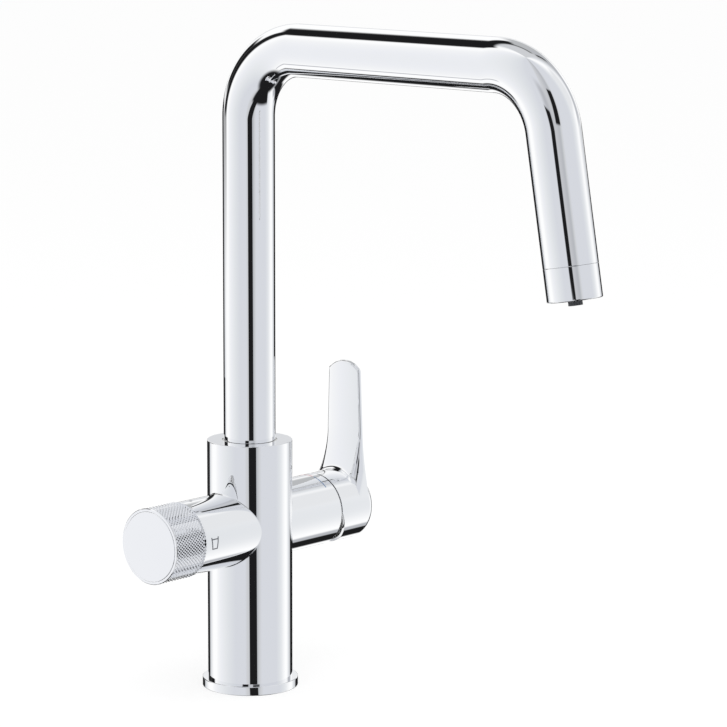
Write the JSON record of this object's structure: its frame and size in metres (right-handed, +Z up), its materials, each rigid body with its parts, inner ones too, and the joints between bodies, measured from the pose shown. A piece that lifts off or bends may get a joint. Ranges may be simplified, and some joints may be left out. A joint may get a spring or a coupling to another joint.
{
  "type": "kitchen mixer tap",
  "caption": "Deck-mounted kitchen mixer tap with a swivelling square spout, a side mixer lever and a knurled side knob for filtered water.",
  "frame": {"origin": "middle of the stud hole in the underside, level with the deck", "axes": "+Z up along the body, -Y towards the spout's outlet, +X towards the mixer lever, -X towards the filter knob"},
  "size_m": [0.1579, 0.2606, 0.362],
  "materials": {
    "chrome": "polished",
    "brass": "machined",
    "steel": "satin",
    "rubber": "matt",
    "light_plastic": "matt",
    "dark_plastic": "matt",
    "ceramic": "lapped",
    "blue_enamel": "gloss",
    "red_enamel": "gloss",
    "dark_enamel": "gloss"
  },
  "bodies": {
    "base": {"base_ring": "chrome", "base_gasket": "rubber", "body": "chrome", "upper_slide_ring": "light_plastic", "spout_clip": "steel", "filter_tube_seal": "rubber", "cartridge_seal": "rubber", "cartridge_housing": "light_plastic", "mixer_fixed_disc": "ceramic", "cartridge_nut": "brass", "lever_dome": "chrome", "valve_seal": "rubber", "valve_housing": "brass", "valve_fixed_disc": "ceramic", "spindle_seal": "rubber", "cold_mark": "blue_enamel", "hot_mark": "red_enamel", "tumbler_mark": "dark_enamel", "collar_dot": "dark_enamel"},
    "spout": {"spout_tube": "chrome", "spout_foot": "brass", "spout_o_rings": "rubber", "lower_slide_ring": "light_plastic", "filter_tube": "light_plastic", "outlet_sleeve": "chrome", "aerator_washer": "rubber", "aerator_housing": "light_plastic", "aerator_screen": "steel", "filter_nozzle": "dark_plastic"},
    "turret": {"mixer_turret": "light_plastic", "stem_pin": "steel"},
    "mixer_disc": {"mixer_moving_disc": "ceramic", "disc_carrier": "dark_plastic"},
    "lever": {"mixer_stem": "brass", "lever": "chrome", "lever_screw": "steel"},
    "filter_knob": {"valve_moving_disc": "ceramic", "valve_spindle": "brass", "knob": "chrome", "knob_screw": "steel", "knob_face": "chrome"}
  },
  "joints": [
    {"name": "spout_swivel", "type": "hinge", "parent": "base", "child": "spout", "pos_m": [0, 0, 0.12], "axis": [0, 0, 1], "continuous": true},
    {"name": "temperature", "type": "hinge", "parent": "base", "child": "turret", "pos_m": [0.05, 0, 0.0895], "axis": [1, 0, 0], "range_deg": [-50, 50]},
    {"name": "flow", "type": "hinge", "parent": "turret", "child": "lever", "pos_m": [0.05, 0, 0.0895], "axis": [0, 1, 0], "range_deg": [0, 20]},
    {"name": "disc_slide", "type": "slide", "parent": "turret", "child": "mixer_disc", "axis": [0, 0, 1], "range_m": [0, 0.00315]},
    {"name": "filter_turn", "type": "hinge", "parent": "base", "child": "filter_knob", "pos_m": [-0.06, 0, 0.0895], "axis": [-1, 0, 0], "range_deg": [0, 90]}
  ],
  "couplings": [
    {"joint": "disc_slide", "follows": "flow", "m_per_rad": 0.009}
  ]
}
